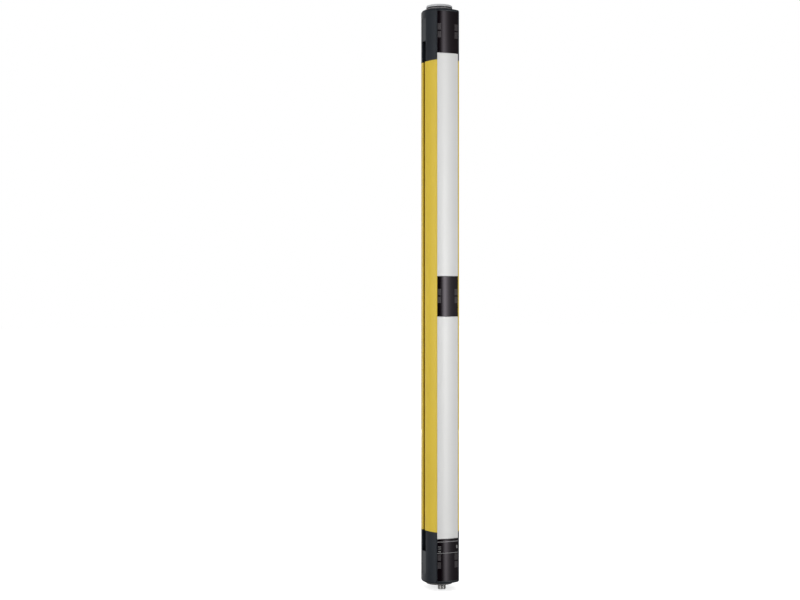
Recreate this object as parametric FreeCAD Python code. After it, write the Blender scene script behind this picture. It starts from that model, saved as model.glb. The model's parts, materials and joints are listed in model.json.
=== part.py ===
import FreeCAD, Part
import math
import os

# Receiver bar of a safety light curtain with three beams, in millimetres.
# +Z runs up the bar, the optical front faces -Y and X runs across it.
# The origin is on the bar's axis, at the face of the lower end boss.

V = FreeCAD.Vector
X_AXIS = V(1, 0, 0)
Y_AXIS = V(0, 1, 0)
Z_AXIS = V(0, 0, 1)

# --- Bar ---------------------------------------------------------------------
BEAM_PITCH = 400.0          # between neighbouring beams
CAP_LENGTH = 82.5           # end cap with its gasket, boss face to aluminium
GASKET_THICKNESS = 0.8

# --- Outline of the section ----------------------------------------------------
HALF_WIDTH = 26.0
WIDEST_Y = 2.0              # where the section is widest
FRONT_Y = -33.1             # crown of the front
BACK_Y = 32.0               # flat at the back
SIDE_RADIUS = 36.0          # from the widest point towards the back
BACK_RADIUS = 10.0          # rounding beside the back flat
LIP_INSET = 6.8             # from the widest point to the corner of the lips beside the windows
LIP_Y = -30.5

# --- Window channel in the front -------------------------------------------------
LIP_THICKNESS = 2.0
SEAT_Y = -27.2              # ledge that the window seals lie on
LEDGE_WIDTH = 2.8
LEDGE_THICKNESS = 2.6

# --- Aluminium profile -----------------------------------------------------------
PROFILE_WALL = 2.4
SLOT_MOUTH = 9.0            # T-slot in each side
SLOT_WIDTH = 13.5
SLOT_LIP = 2.2
SLOT_DEPTH = 7.0            # from the widest point to the slot's floor
SLOT_WALL = 2.25
FRONT_PORT_INSET = 6.6      # from the widest point to the middle of the screw ports
FRONT_PORT_Y = -15.5
REAR_PORT_INSET = 10.5
REAR_PORT_Y = 19.5
PORT_WALL = 1.75
RAIL_THICKNESS = 1.8        # ribs that keep the carrier's web against the slots
RAIL_HEIGHT = 4.0

# --- End caps ----------------------------------------------------------------------
CAP_WALL = 3.0
CAP_END_WALL = 10.0         # boss face to the cap's inner floor
SHOULDER_ROUNDING = 3.0     # of the rim all round the cap's end
END_CROWN_RADIUS = 120.0    # the cap's end is a shallow ball round the boss
BOSS_INSET = 6.1            # the round boss, in from the cap's sides
BOSS_HEIGHT = 2.0
RECESS_LENGTH = 32.0        # where slot nuts go in
PAD_LENGTH = 34.5           # shallow flat that runs on from the recess
PAD_DEPTH = 0.5
PAD_CORNER = 2.0
STOP_INSET = 4.5            # posts under the ends of the optics carrier
STOP_RADIUS = 2.0
TUBE_WALL = 0.8             # round the access bores of the cap screws
HEAD_SEAT = 12.0            # from the seat under a screw's head to the aluminium

# --- Screws -------------------------------------------------------------------------
CAP_SCREW_RADIUS = 2.0
CAP_SCREW_HEAD_RADIUS = 3.3
CAP_SCREW_HEAD_HEIGHT = 3.0
CAP_SCREW_REACH = 13.0      # into the profile
SMALL_SCREW_RADIUS = 1.0
SMALL_HEAD_RADIUS = 1.9
SMALL_HEAD_HEIGHT = 1.4
SMALL_SCREW_REACH = 2.6     # into its boss
SMALL_BOSS_RADIUS = 2.4
THREAD_CLEARANCE = 0.05
HOLE_CLEARANCE = 0.2

# --- Windows and covers --------------------------------------------------------------
WINDOW_THICKNESS = 2.6
WINDOW_GAP = 0.2            # to the lips
JOINT_GAP = 0.3             # between neighbouring windows and covers
SEAL_THICKNESS = 1.0
SEAL_WIDTH = 2.2
POCKET_END = 8.5            # boss face to the end of the window channel
INDICATOR_FOOT = 11.65      # joints of the windows, above their beam
INDICATOR_HEAD = 33.5
MIDDLE_FOOT = -30.9
MIDDLE_HEAD = 29.7
UPPER_FOOT = -33.2
DISPLAY_BEAD = 4.2          # bead below the indicator window's upper edge
BEAD_WIDTH = 0.7
BEAD_HEIGHT = 0.15
EDGE_BEVEL = 0.5            # on the ends of the white covers

# --- Indicator lamp at the top ----------------------------------------------------------
LAMP_SEAL_HEIGHT = 1.4
LAMP_SEAL_INSET = 0.3       # behind the rim of the dome
DOME_INSET = 0.1            # behind the rim of the boss
DOME_HEIGHT = 3.5           # straight rim, with its rounded edge
DOME_CROWN = 1.3
DOME_EDGE = 2.0
DOME_WALL = 1.8
DOME_SEAT_WIDTH = 5.2       # from the dome's rim to its skirt
SKIRT_LENGTH = 5.0
LAMP_LEDGE = 2.0            # under the board
LAMP_LED_SIZE = 3.6
LAMP_LED_RING = 8.0
LAMP_LEDS = 6

# --- Optics -------------------------------------------------------------------------------
BOARD_THICKNESS = 1.6
CARRIER_WEB = 1.6
CARRIER_EDGE = 1.5          # between the web and the wall of the caps
FLANGE_CLEARANCE = 1.95     # between the carrier's flanges and the slots
FLANGE_THICKNESS = 1.2
FLANGE_FRONT_Y = -22.0
CARRIER_MARGIN = 2.5        # from the last lens holder to the end of the carrier
LENS_MARGIN = 1.4           # between the lens and the flanges
LENS_EDGE = 2.6
LENS_CROWN = 2.8
LENS_LEDGE = 1.0
HOLDER_FRONT_Y = -25.4
HOLDER_FRAME = 5.0
HOLDER_HALF_HEIGHT = 14.0
HOLDER_FLANGE = 1.5
HOLDER_CLEARANCE = 4.4      # above the connector's board
FUNNEL_WALL = 1.2
APERTURE_RADIUS = 4.0
MODULE_BOARD_Y = 4.9
MODULE_SCREW_INSET = 3.2
MODULE_SCREW_RISE = 9.5     # above or below the beam
DIODE_WIDTH = 4.4
DIODE_HEIGHT = 1.4
DIODE_LENS_RADIUS = 1.1
CABLE_OPENING = 6.0         # half the width of the openings in the web
FIT = 0.2                   # sliding clearance of inner pieces

# --- Main board -----------------------------------------------------------------------------
STANDOFF = 2.0              # between the carrier's web and the board
MAIN_BOARD_MARGIN = 2.4     # between the board and the ribs
MAIN_BOARD_INSET = 12.5     # from the end of the aluminium
MAIN_SCREW_X = 9.0
MAIN_SCREW_ROWS = 4
CHIP_SIZE = 14.0
CHIP_HEIGHT = 1.6
CHIP_SPACING = 30.0
SWITCH_SIZE = 7.0
SWITCH_HEIGHT = 2.4
SOCKET_WIDTH = 12.0
SOCKET_DEPTH = 5.0
SOCKET_HEIGHT = 5.0
SOCKET_INSET = 12.0

# --- Display --------------------------------------------------------------------------------
DISPLAY_BOARD_MARGIN = 4.3  # below the board, to the joint of the windows
DISPLAY_BOARD_HEIGHT = 17.0
DIGIT_X = 3.0
DIGIT_WIDTH = 10.0
DIGIT_HEIGHT = 13.0
DIGIT_DEPTH = 5.0
LED_X = -10.5
LED_COUNT = 5
LED_PITCH = 3.0
LED_SIZE = 1.8
LED_HEIGHT = 1.2
GUIDE_DEPTH = 3.4
GUIDE_WEB_WIDTH = 0.8
GUIDE_WEB_DEPTH = 1.0

# --- Connector M12, male, eight poles ---------------------------------------------------------
CONNECTOR_Y = -9.4
CONNECTOR_RADIUS = 6.0
CONNECTOR_REACH = 7.5       # below the boss face
COLLAR_RADIUS = 6.6         # fits the bore of the cap
COLLAR_STEP = 0.5           # below the boss face
CONNECTOR_FLANGE_RADIUS = 9.2
CONNECTOR_FLANGE = 2.0
CONNECTOR_TAIL = 3.0        # behind the flange
CUP_RADIUS = 4.3
CUP_DEPTH = 8.5
KEY_WIDTH = 1.2
KEY_HEIGHT = 0.8
RIM_CHAMFER = 0.5
PIN_RADIUS = 0.5
PIN_CIRCLE = 2.75
OUTER_PINS = 7
PIN_RECESS = 1.5            # below the rim of the cup
ORING_GROOVE = 1.6
ORING_RADIUS = 0.75
RETAINER_THICKNESS = 1.2
RETAINER_SCREW_REACH = 12.5 # from the middle of the connector
CONNECTOR_BOARD_Z = 18.5
CONNECTOR_BOARD_FRONT = -21.0
BOARD_POST_Y = 4.5

# --- Sizes that follow -----------------------------------------------------------------------
END_TO_BEAM = CONNECTOR_BOARD_Z + BOARD_THICKNESS + HOLDER_CLEARANCE + HOLDER_HALF_HEIGHT
LENGTH = 2 * (BEAM_PITCH + END_TO_BEAM)     # over the two end bosses
MIDDLE_Z = LENGTH / 2
BEAMS = {"lower": MIDDLE_Z - BEAM_PITCH, "middle": MIDDLE_Z, "upper": MIDDLE_Z + BEAM_PITCH}
INDICATOR_LOW = BEAMS["lower"] + INDICATOR_FOOT
INDICATOR_HIGH = BEAMS["lower"] + INDICATOR_HEAD
MIDDLE_LOW = BEAMS["middle"] + MIDDLE_FOOT
MIDDLE_HIGH = BEAMS["middle"] + MIDDLE_HEAD
UPPER_LOW = BEAMS["upper"] + UPPER_FOOT
LIP_X = HALF_WIDTH - LIP_INSET
FRONT_RADIUS = (LIP_INSET ** 2 + (WIDEST_Y - LIP_Y) ** 2) / (2 * LIP_INSET)
CROWN_RISE = LIP_Y - FRONT_Y
CROWN_RADIUS = (LIP_X ** 2 + CROWN_RISE ** 2) / (2 * CROWN_RISE)
CROWN_CENTRE_Y = FRONT_Y + CROWN_RADIUS
CHANNEL_X = LIP_X - LIP_THICKNESS
THROAT_X = CHANNEL_X - LEDGE_WIDTH
CAVITY_FRONT_Y = SEAT_Y + LEDGE_THICKNESS
SLOT_FLOOR_X = HALF_WIDTH - SLOT_DEPTH
SLOT_INNER_X = HALF_WIDTH - SLOT_LIP
SLOT_BLOCK_X = SLOT_FLOOR_X - SLOT_WALL
SLOT_BLOCK_Y = SLOT_WIDTH / 2 + SLOT_WALL
PORT_HOLE = CAP_SCREW_RADIUS + THREAD_CLEARANCE
PORT_RADIUS = PORT_HOLE + PORT_WALL
ACCESS_RADIUS = CAP_SCREW_HEAD_RADIUS + HOLE_CLEARANCE
TUBE_RADIUS = ACCESS_RADIUS + TUBE_WALL
CAP_BODY_END = CAP_LENGTH - GASKET_THICKNESS
HEAD_SEAT_Z = CAP_LENGTH - HEAD_SEAT
FRONT_PORT_X = HALF_WIDTH - FRONT_PORT_INSET
REAR_PORT_X = HALF_WIDTH - REAR_PORT_INSET
PORTS = [(-FRONT_PORT_X, FRONT_PORT_Y), (FRONT_PORT_X, FRONT_PORT_Y),
         (-REAR_PORT_X, REAR_PORT_Y), (REAR_PORT_X, REAR_PORT_Y)]
RAIL_X = HALF_WIDTH - PROFILE_WALL - RAIL_HEIGHT
BOSS_RADIUS = HALF_WIDTH - BOSS_INSET
DOME_RADIUS = BOSS_RADIUS - DOME_INSET
SKIRT_RADIUS = DOME_RADIUS - DOME_SEAT_WIDTH
LAMP_BOARD_RADIUS = SKIRT_RADIUS - FIT
WINDOW_X = CHANNEL_X - WINDOW_GAP
FOOT_Y = SEAT_Y - SEAL_THICKNESS
CARRIER_WEB_Y = SLOT_BLOCK_Y + FIT
WEB_BACK_Y = CARRIER_WEB_Y + CARRIER_WEB
MAIN_BOARD_Y = WEB_BACK_Y + STANDOFF
LENS_BACK_Y = HOLDER_FRONT_Y + LENS_EDGE + FIT
FLANGE_OUTER_X = SLOT_BLOCK_X - FLANGE_CLEARANCE
FLANGE_X = FLANGE_OUTER_X - FLANGE_THICKNESS
CARRIER_HALF_WIDTH = HALF_WIDTH - CAP_WALL - CARRIER_EDGE
STOP_X = CARRIER_HALF_WIDTH - STOP_INSET
LENS_RADIUS = FLANGE_X - LENS_MARGIN
MODULE_SCREW_X = FLANGE_X - MODULE_SCREW_INSET
MAIN_BOARD_HALF_WIDTH = RAIL_X - MAIN_BOARD_MARGIN
CARRIER_END = END_TO_BEAM - HOLDER_HALF_HEIGHT - CARRIER_MARGIN
MAIN_BOARD_LOW = CAP_LENGTH + MAIN_BOARD_INSET
MAIN_BOARD_BACK_Y = MAIN_BOARD_Y + BOARD_THICKNESS
DISPLAY_BOARD_LOW = INDICATOR_LOW + DISPLAY_BOARD_MARGIN
DISPLAY_MIDDLE_Z = DISPLAY_BOARD_LOW + DISPLAY_BOARD_HEIGHT / 2
DISPLAY_FRONT_Y = FLANGE_FRONT_Y - BOARD_THICKNESS
LAMP_BOARD_Z = LENGTH + LAMP_SEAL_HEIGHT - SKIRT_LENGTH     # its face under the dome's skirt
RETAINER_Z = CAP_END_WALL + CONNECTOR_FLANGE
RETAINER_SCREWS = [(0, CONNECTOR_Y - RETAINER_SCREW_REACH), (0, CONNECTOR_Y + RETAINER_SCREW_REACH)]
CONNECTOR_BOARD_HALF_WIDTH = FRONT_PORT_X - TUBE_RADIUS - FIT
BOARD_POST_X = CONNECTOR_BOARD_HALF_WIDTH - SMALL_BOSS_RADIUS
BOARD_SCREWS = [(-BOARD_POST_X, BOARD_POST_Y), (BOARD_POST_X, BOARD_POST_Y)]
CONNECTOR_TOP = RETAINER_Z + CONNECTOR_TAIL
NEAR = 0.01                 # for finding edges by their place
OVER = 1.0                  # how far cutting shapes run past what they cut


# --- Helpers ---------------------------------------------------------------------------------
def box(x0, x1, y0, y1, z0, z1):
    return Part.makeBox(x1 - x0, y1 - y0, z1 - z0, V(x0, y0, z0))


def rod_z(x, y, radius, z0, z1):
    return Part.makeCylinder(radius, z1 - z0, V(x, y, z0), Z_AXIS)


def rod_y(x, z, radius, y0, y1):
    return Part.makeCylinder(radius, y1 - y0, V(x, y0, z), Y_AXIS)


def turned(edges):
    """Solid of revolution about the Z axis, from the edges of its half section in XZ."""
    face = Part.Face(Part.Wire(Part.__sortEdges__(edges)))
    return face.revolve(V(0, 0, 0), Z_AXIS, 360)


def extruded(face, z0, z1):
    solid = face.extrude(V(0, 0, z1 - z0))
    solid.translate(V(0, 0, z0))
    return solid


def fused(shapes):
    return shapes[0].multiFuse(shapes[1:]).removeSplitter()


def upside_down(shape):
    """The same piece at the other end of the bar."""
    turned_over = shape.copy()
    turned_over.rotate(V(0, 0, MIDDLE_Z), Y_AXIS, 180)
    return turned_over


def save(name, *solids):
    shape = solids[0] if len(solids) == 1 else Part.makeCompound(list(solids))
    shape.exportStep(f"parts/{name}.step")


# --- Section -----------------------------------------------------------------------------------
def arc(centre, radius, start, end):
    """Arc in the XY plane between two angles in degrees."""
    points = []
    for angle in (start, (start + end) / 2, end):
        turn = math.radians(angle)
        points.append(V(centre[0] + radius * math.cos(turn), centre[1] + radius * math.sin(turn), 0))
    return Part.Arc(*points).toShape()


def crown_y(x, drop=0.0):
    """Y of the crowned front at x, or of a surface the given drop behind it."""
    return CROWN_CENTRE_Y - math.sqrt((CROWN_RADIUS - drop) ** 2 - x ** 2)


def section(inset, front_y=None):
    """Face of the bar's outline, moved in by inset; its front is the crown or a straight cut."""
    side = HALF_WIDTH - SIDE_RADIUS
    front = HALF_WIDTH - FRONT_RADIUS
    climb = (BACK_Y - BACK_RADIUS - WIDEST_Y) / (SIDE_RADIUS - BACK_RADIUS)
    turn = math.degrees(math.asin(climb))
    corner = (side + (SIDE_RADIUS - BACK_RADIUS) * math.sqrt(1 - climb ** 2), BACK_Y - BACK_RADIUS)
    start_y = LIP_Y if front_y is None else front_y
    drop = math.degrees(math.asin((WIDEST_Y - start_y) / (FRONT_RADIUS - inset)))

    front_arc = arc((front, WIDEST_Y), FRONT_RADIUS - inset, -drop, 0)
    side_arc = arc((side, WIDEST_Y), SIDE_RADIUS - inset, 0, turn)
    corner_arc = arc(corner, BACK_RADIUS - inset, turn, 90)
    right = [front_arc, side_arc, corner_arc]
    left = [edge.mirror(V(0, 0, 0), X_AXIS) for edge in right]

    start = front_arc.Vertexes[0].Point
    mirrored = V(-start.x, start.y, 0)
    if front_y is None:
        closing = Part.Arc(mirrored, V(0, FRONT_Y, 0), start).toShape()
    else:
        closing = Part.makeLine(mirrored, start)
    back = Part.makeLine(V(corner[0], BACK_Y - inset, 0), V(-corner[0], BACK_Y - inset, 0))
    edges = Part.__sortEdges__(right + left + [closing, back])
    return Part.Face(Part.Wire(edges))


def both_sides(shape):
    return [shape, shape.mirror(V(0, 0, 0), X_AXIS)]


def slot_block(z0, z1):
    """Walls round the two side slots."""
    block = box(SLOT_BLOCK_X, HALF_WIDTH + OVER, -SLOT_BLOCK_Y, SLOT_BLOCK_Y, z0, z1)
    outline = extruded(section(0), z0, z1)
    return [side.common(outline) for side in both_sides(block)]


def window_channel(z0, z1):
    """Room for the windows, open to the front."""
    return box(-CHANNEL_X, CHANNEL_X, FRONT_Y - OVER, SEAT_Y, z0, z1)


def throat(z0, z1):
    """Way from the window channel to the cavity, between the ledges."""
    return box(-THROAT_X, THROAT_X, SEAT_Y - OVER, CAVITY_FRONT_Y + OVER, z0, z1)


# --- Aluminium profile -----------------------------------------------------------------------
def housing_section(z0, z1):
    """Extruded section, with side slots, screw ports, ledges and guide rails."""
    hollow = extruded(section(PROFILE_WALL, CAVITY_FRONT_Y), z0, z1)
    wall = extruded(section(0), z0, z1).cut([hollow, window_channel(z0, z1), throat(z0, z1)])

    ports = [rod_z(x, y, PORT_RADIUS, z0, z1) for x, y in PORTS]
    rail_y = WEB_BACK_Y + FIT
    rail = box(RAIL_X, HALF_WIDTH, rail_y, rail_y + RAIL_THICKNESS, z0, z1)
    outline = extruded(section(0), z0, z1)
    rails = [side.common(outline) for side in both_sides(rail)]
    body = fused([wall] + slot_block(z0, z1) + ports + rails)

    mouth = box(SLOT_INNER_X - OVER, HALF_WIDTH + OVER, -SLOT_MOUTH / 2, SLOT_MOUTH / 2, z0, z1)
    groove = box(SLOT_FLOOR_X, SLOT_INNER_X, -SLOT_WIDTH / 2, SLOT_WIDTH / 2, z0, z1)
    holes = [rod_z(x, y, PORT_HOLE, z0, z1) for x, y in PORTS]
    return body.cut(both_sides(mouth) + both_sides(groove) + holes).removeSplitter()


def housing_profile():
    return housing_section(CAP_LENGTH, LENGTH - CAP_LENGTH)


def cap_gasket():
    """Rubber plate between the lower cap and the aluminium, cut back round the slots."""
    plate = housing_section(CAP_BODY_END, CAP_LENGTH)
    recess = box(SLOT_FLOOR_X, HALF_WIDTH + OVER, -SLOT_WIDTH / 2, SLOT_WIDTH / 2, 0, LENGTH)
    wider = PORT_HOLE + HOLE_CLEARANCE
    holes = [rod_z(x, y, wider, 0, LENGTH) for x, y in PORTS]
    return plate.cut(both_sides(recess) + holes)


# --- End caps -------------------------------------------------------------------------------
def end_cap():
    """Die-cast cap for the lower end, before its centre opening is cut."""
    ball_z = BOSS_HEIGHT + math.sqrt(END_CROWN_RADIUS ** 2 - BOSS_RADIUS ** 2)
    ball = Part.makeSphere(END_CROWN_RADIUS, V(0, 0, ball_z))
    block = extruded(section(0), 0, CAP_BODY_END).common(ball)
    rim = [edge for edge in block.Edges if edge.BoundBox.ZMax < POCKET_END
           and min(math.hypot(end.X, end.Y) for end in edge.Vertexes) > BOSS_RADIUS]
    block = block.makeFillet(SHOULDER_ROUNDING, rim)
    boss = rod_z(0, 0, BOSS_RADIUS, 0, CAP_END_WALL)

    hollow = extruded(section(CAP_WALL, CAVITY_FRONT_Y), CAP_END_WALL, CAP_BODY_END)
    channel = window_channel(POCKET_END, CAP_BODY_END)
    shell = block.fuse(boss).cut([hollow, channel, throat(CAP_END_WALL, CAP_BODY_END)])

    recess_end = CAP_LENGTH - RECESS_LENGTH
    tubes = [rod_z(x, y, TUBE_RADIUS, CAP_END_WALL - OVER, CAP_BODY_END) for x, y in PORTS]
    blocks = slot_block(recess_end - SLOT_WALL, CAP_BODY_END)
    stop_y = WEB_BACK_Y - CARRIER_WEB / 2
    stops = [rod_z(side * STOP_X, stop_y, STOP_RADIUS, CAP_END_WALL - OVER, CARRIER_END) for side in (-1, 1)]
    body = fused([shell] + tubes + blocks + stops)

    half = SLOT_WIDTH / 2
    recess = box(SLOT_FLOOR_X, HALF_WIDTH + OVER, -half, half, recess_end, CAP_LENGTH)
    pad_end = recess_end - PAD_LENGTH
    pad = box(HALF_WIDTH - PAD_DEPTH, HALF_WIDTH + OVER, -half, half, pad_end, recess_end + OVER)
    corners = [edge for edge in pad.Edges
               if edge.BoundBox.XLength > PAD_DEPTH and edge.BoundBox.ZMax < pad_end + NEAR]
    pad = pad.makeFillet(PAD_CORNER, corners)
    access = [rod_z(x, y, ACCESS_RADIUS, -OVER, HEAD_SEAT_Z) for x, y in PORTS]
    through = [rod_z(x, y, CAP_SCREW_RADIUS + HOLE_CLEARANCE, 0, CAP_LENGTH) for x, y in PORTS]
    return body.cut(both_sides(recess) + both_sides(pad) + access + through).removeSplitter()


def lower_end_cap():
    """Cap with the bore, O-ring groove and bosses of the connector."""
    radius = SMALL_SCREW_RADIUS + THREAD_CLEARANCE
    posts = []
    holes = []
    for places, seat_z in ((RETAINER_SCREWS, RETAINER_Z), (BOARD_SCREWS, CONNECTOR_BOARD_Z)):
        for x, y in places:
            posts.append(rod_z(x, y, SMALL_BOSS_RADIUS, CAP_END_WALL - OVER, seat_z))
            holes.append(rod_z(x, y, radius, seat_z - SMALL_SCREW_REACH - FIT, seat_z + OVER))

    bore = rod_z(0, CONNECTOR_Y, COLLAR_RADIUS + FIT / 2, -OVER, CAP_END_WALL + OVER)
    groove_radius = COLLAR_RADIUS + 2 * ORING_RADIUS + FIT
    groove = rod_z(0, CONNECTOR_Y, groove_radius, CAP_END_WALL - ORING_GROOVE, CAP_END_WALL + OVER)
    return fused([end_cap()] + posts).cut([bore, groove] + holes)


def upper_end_cap():
    """Cap with the bore and the board ledge of the indicator lamp."""
    ledge_z = LAMP_BOARD_Z - BOARD_THICKNESS
    bore = rod_z(0, 0, SKIRT_RADIUS + FIT, ledge_z, LENGTH + OVER)
    way = rod_z(0, 0, LAMP_BOARD_RADIUS - LAMP_LEDGE, LENGTH - CAP_END_WALL - OVER, ledge_z + OVER)
    return upside_down(end_cap()).cut([bore, way])


def cap_screws():
    screws = []
    for x, y in PORTS:
        head = rod_z(x, y, CAP_SCREW_HEAD_RADIUS, HEAD_SEAT_Z - CAP_SCREW_HEAD_HEIGHT, HEAD_SEAT_Z)
        shank = rod_z(x, y, CAP_SCREW_RADIUS, HEAD_SEAT_Z, CAP_LENGTH + CAP_SCREW_REACH)
        screws.append(head.fuse(shank).removeSplitter())
    return screws


# --- Windows, covers and seals ------------------------------------------------------------------
def front_plate(z0, z1):
    """Crowned plate whose two feet lie on the seals."""
    crown = Part.Arc(V(-WINDOW_X, crown_y(WINDOW_X), 0), V(0, FRONT_Y, 0), V(WINDOW_X, crown_y(WINDOW_X), 0))
    foot_x = WINDOW_X - SEAL_WIDTH
    inner_y = crown_y(foot_x, WINDOW_THICKNESS)
    inner = Part.Arc(V(-foot_x, inner_y, 0), V(0, FRONT_Y + WINDOW_THICKNESS, 0), V(foot_x, inner_y, 0))
    edges = [crown.toShape(), inner.toShape()]
    for side in (-1, 1):
        edges.append(Part.makeLine(V(side * WINDOW_X, crown_y(WINDOW_X), 0), V(side * WINDOW_X, FOOT_Y, 0)))
        edges.append(Part.makeLine(V(side * WINDOW_X, FOOT_Y, 0), V(side * foot_x, FOOT_Y, 0)))
        edges.append(Part.makeLine(V(side * foot_x, FOOT_Y, 0), V(side * foot_x, inner_y, 0)))
    face = Part.Face(Part.Wire(Part.__sortEdges__(edges)))
    return extruded(face, z0 + JOINT_GAP / 2, z1 - JOINT_GAP / 2)


def white_cover(z0, z1):
    """Front plate with bevelled ends."""
    plate = front_plate(z0, z1)
    ends = [edge for edge in plate.Edges
            if edge.BoundBox.ZLength < NEAR and edge.BoundBox.YMin < FRONT_Y + NEAR]
    return plate.makeChamfer(EDGE_BEVEL, ends)


def bead(z):
    """Raised line across the crowned front."""
    z0 = z - BEAD_WIDTH / 2
    z1 = z + BEAD_WIDTH / 2
    outer = rod_z(0, CROWN_CENTRE_Y, CROWN_RADIUS + BEAD_HEIGHT, z0, z1)
    inner = rod_z(0, CROWN_CENTRE_Y, CROWN_RADIUS - EDGE_BEVEL, z0 - OVER, z1 + OVER)
    strip = box(-WINDOW_X, WINDOW_X, FRONT_Y - OVER, SEAT_Y, z0, z1)
    return outer.cut(inner).common(strip)


def indicator_window():
    """Black window over the display, framed by two raised lines."""
    plate = front_plate(INDICATOR_LOW, INDICATOR_HIGH)
    low_bead = bead(INDICATOR_LOW + (JOINT_GAP + BEAD_WIDTH) / 2)
    high_bead = bead(INDICATOR_HIGH - DISPLAY_BEAD)
    return fused([plate, low_bead, high_bead])


def window_seal():
    z0 = POCKET_END + JOINT_GAP
    return box(WINDOW_X - SEAL_WIDTH, WINDOW_X, FOOT_Y, SEAT_Y, z0, LENGTH - z0)


# --- Indicator lamp ---------------------------------------------------------------------------
def dome_seal():
    outer = rod_z(0, 0, DOME_RADIUS - LAMP_SEAL_INSET, LENGTH, LENGTH + LAMP_SEAL_HEIGHT)
    return outer.cut(rod_z(0, 0, SKIRT_RADIUS + FIT, LENGTH - OVER, LENGTH + LAMP_SEAL_HEIGHT + OVER))


def crowned_line(radius, edge, foot_z, rim_z, crown):
    """Wall, rounded edge and slightly domed top of a turned piece, from its foot to the axis."""
    bend = edge * (1 - math.sqrt(0.5))
    flat = radius - edge
    ball = (flat ** 2 + crown ** 2) / (2 * crown)
    half_z = rim_z + crown - ball + math.sqrt(ball ** 2 - flat ** 2 / 4)
    wall = Part.makeLine(V(radius, 0, foot_z), V(radius, 0, rim_z - edge))
    middle = V(radius - bend, 0, rim_z - bend)
    rounding = Part.Arc(V(radius, 0, rim_z - edge), middle, V(flat, 0, rim_z)).toShape()
    top = Part.Arc(V(flat, 0, rim_z), V(flat / 2, 0, half_z), V(0, 0, rim_z + crown)).toShape()
    return [wall, rounding, top]


def indicator_dome():
    """Translucent lens with a skirt that reaches down to the lamp board."""
    base = LENGTH + LAMP_SEAL_HEIGHT
    rim = base + DOME_HEIGHT
    room_radius = SKIRT_RADIUS - DOME_WALL
    outer = crowned_line(DOME_RADIUS, DOME_EDGE, base, rim, DOME_CROWN)
    inner = crowned_line(room_radius, DOME_EDGE / 2, LAMP_BOARD_Z, rim - DOME_WALL, DOME_CROWN)
    axis = Part.makeLine(V(0, 0, rim - DOME_WALL + DOME_CROWN), V(0, 0, rim + DOME_CROWN))
    skirt = Part.makePolygon([V(room_radius, 0, LAMP_BOARD_Z), V(SKIRT_RADIUS, 0, LAMP_BOARD_Z),
                              V(SKIRT_RADIUS, 0, base), V(DOME_RADIUS, 0, base)])
    return turned(outer + inner + [axis] + skirt.Edges)


def lamp_board():
    return rod_z(0, 0, LAMP_BOARD_RADIUS, LAMP_BOARD_Z - BOARD_THICKNESS, LAMP_BOARD_Z)


def lamp_leds():
    half = LAMP_LED_SIZE / 2
    top = LAMP_BOARD_Z + LED_HEIGHT
    leds = []
    for number in range(LAMP_LEDS):
        led = box(LAMP_LED_RING - half, LAMP_LED_RING + half, -half, half, LAMP_BOARD_Z, top)
        led.rotate(V(0, 0, 0), Z_AXIS, 360 * number / LAMP_LEDS)
        leds.append(led)
    return leds


# --- Optics -------------------------------------------------------------------------------------
def small_screw(seat, head_side, depth):
    """Screw whose head lies on the given side of its seat, with its shank on the other side."""
    shank = rod_z(0, 0, SMALL_SCREW_RADIUS, -depth, 0)
    head = rod_z(0, 0, SMALL_HEAD_RADIUS, 0, SMALL_HEAD_HEIGHT)
    screw = head.fuse(shank).removeSplitter()
    screw.Placement = FreeCAD.Placement(seat, FreeCAD.Rotation(Z_AXIS, head_side))
    return screw


def module_screw_places(beam_z):
    return [(-MODULE_SCREW_X, beam_z + MODULE_SCREW_RISE), (MODULE_SCREW_X, beam_z - MODULE_SCREW_RISE)]


def screw_holes_y(places, y0, y1, radius):
    return [rod_y(x, z, radius, y0, y1) for x, z in places]


def lens_holder(beam_z):
    """Frame round the lens, and a funnel that narrows to the photodiode."""
    half = FLANGE_X - FIT
    frame_back = HOLDER_FRONT_Y + HOLDER_FRAME
    flange_y = MODULE_BOARD_Y - HOLDER_FLANGE
    length = flange_y - frame_back
    low = beam_z - HOLDER_HALF_HEIGHT
    high = beam_z + HOLDER_HALF_HEIGHT
    start = V(0, frame_back, beam_z)
    sight = LENS_RADIUS - LENS_LEDGE
    frame = box(-half, half, HOLDER_FRONT_Y, frame_back, low, high)
    funnel = Part.makeCone(sight + FUNNEL_WALL, APERTURE_RADIUS + FUNNEL_WALL, length, start, Y_AXIS)
    flange = box(-half, half, flange_y, MODULE_BOARD_Y, low + LENS_LEDGE, high - LENS_LEDGE)
    body = fused([frame, funnel, flange])

    seat = rod_y(0, beam_z, LENS_RADIUS + FIT / 2, HOLDER_FRONT_Y - OVER, LENS_BACK_Y)
    opening = rod_y(0, beam_z, sight, LENS_BACK_Y - OVER, frame_back)
    cone = Part.makeCone(sight, APERTURE_RADIUS, length, start, Y_AXIS)
    aperture = rod_y(0, beam_z, APERTURE_RADIUS, flange_y - OVER / 2, MODULE_BOARD_Y + OVER)
    places = module_screw_places(beam_z)
    radius = SMALL_SCREW_RADIUS + HOLE_CLEARANCE
    holes = screw_holes_y(places, flange_y - OVER, MODULE_BOARD_Y + OVER, radius)
    return body.cut([seat, opening, cone, aperture] + holes)


def lens(beam_z):
    """Plano-convex lens, its round side to the front."""
    sphere_radius = (LENS_RADIUS ** 2 + LENS_CROWN ** 2) / (2 * LENS_CROWN)
    edge_y = LENS_BACK_Y - LENS_EDGE
    blank = rod_y(0, beam_z, LENS_RADIUS, edge_y - LENS_CROWN - OVER, LENS_BACK_Y)
    ball = Part.makeSphere(sphere_radius, V(0, edge_y - LENS_CROWN + sphere_radius, beam_z))
    return blank.common(ball)


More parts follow.
